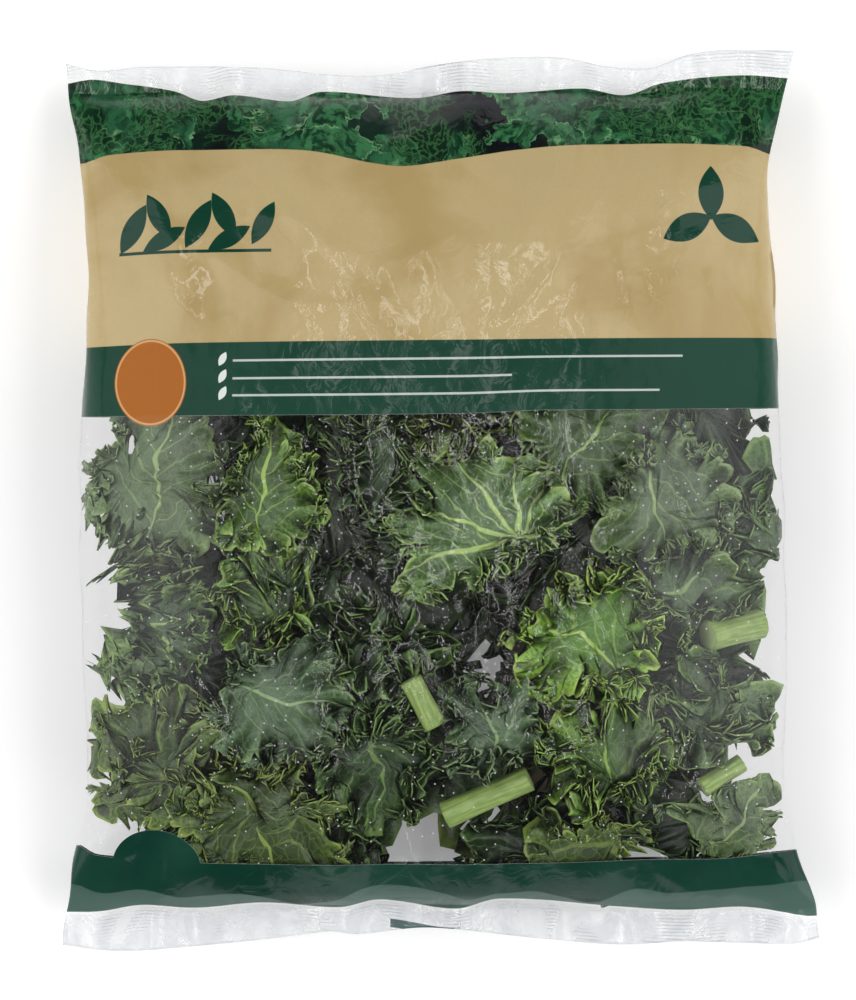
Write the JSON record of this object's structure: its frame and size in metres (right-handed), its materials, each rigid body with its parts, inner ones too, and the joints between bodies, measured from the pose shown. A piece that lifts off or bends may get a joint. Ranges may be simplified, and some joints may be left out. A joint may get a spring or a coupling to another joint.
{
  "type": "bag of cut kale",
  "caption": "Sealed clear film pillow bag with printed bands, lying flat and full of loose cut curly kale leaves and stem pieces.",
  "frame": {"origin": "on the surface the bag lies on, under the middle of its outline", "axes": "+X to the right as the bag's front is read, +Y to its top end, +Z out of its front; it lies on its back"},
  "size_m": [0.2696, 0.3208, 0.07],
  "materials": {
    "film": "clear packaging film, printed in opaque bands",
    "leaf_fresh": "fresh mid-green leaf with a faint wax bloom",
    "leaf_dusky": "dull blue-green leaf with a wax bloom",
    "leaf_dark": "dark green curled leaf",
    "leaf_olive": "yellowish green leaf",
    "stem": "pale green, moist cut stem"
  },
  "bodies": {
    "root": {"film_bag": "film", "cut_stem_1": "stem", "cut_stem_2": "stem", "cut_stem_3": "stem", "cut_stem_4": "stem", "kale_leaf_01": "leaf_dusky", "kale_leaf_02": "leaf_fresh", "kale_leaf_03": "leaf_dark", "kale_leaf_04": "leaf_dusky", "kale_leaf_05": "leaf_dark", "kale_leaf_06": "leaf_dusky", "kale_leaf_07": "leaf_dark", "kale_leaf_08": "leaf_fresh", "kale_leaf_09": "leaf_olive", "kale_leaf_10": "leaf_dusky", "kale_leaf_11": "leaf_dark", "kale_leaf_12": "leaf_fresh", "kale_leaf_13": "leaf_dusky", "kale_leaf_14": "leaf_dusky", "kale_leaf_15": "leaf_olive", "kale_leaf_16": "leaf_olive", "kale_leaf_17": "leaf_dark", "kale_leaf_18": "leaf_fresh", "kale_leaf_19": "leaf_dusky", "kale_leaf_20": "leaf_dusky", "kale_leaf_21": "leaf_olive", "kale_leaf_22": "leaf_olive", "kale_leaf_23": "leaf_dark", "kale_leaf_24": "leaf_dusky", "kale_leaf_25": "leaf_dark", "kale_leaf_26": "leaf_dark", "kale_leaf_27": "leaf_dark", "kale_leaf_28": "leaf_dark", "kale_leaf_29": "leaf_dark", "kale_leaf_30": "leaf_dark", "kale_leaf_31": "leaf_dark", "kale_leaf_32": "leaf_dusky", "kale_leaf_33": "leaf_dark", "kale_leaf_34": "leaf_dark", "kale_leaf_35": "leaf_dark", "kale_leaf_36": "leaf_dark", "kale_leaf_37": "leaf_fresh", "kale_leaf_38": "leaf_dark", "kale_leaf_39": "leaf_dark", "kale_leaf_40": "leaf_dark", "kale_leaf_41": "leaf_dark", "kale_leaf_42": "leaf_dark", "kale_leaf_43": "leaf_dark", "kale_leaf_44": "leaf_dark", "kale_leaf_45": "leaf_dark", "kale_leaf_46": "leaf_dark", "kale_leaf_47": "leaf_dark", "kale_leaf_48": "leaf_dark", "kale_leaf_49": "leaf_dark", "kale_leaf_50": "leaf_dark", "kale_leaf_51": "leaf_dark", "kale_leaf_52": "leaf_olive", "kale_leaf_53": "leaf_dusky", "kale_leaf_54": "leaf_olive", "kale_leaf_55": "leaf_dusky"}
  },
  "joints": []
}
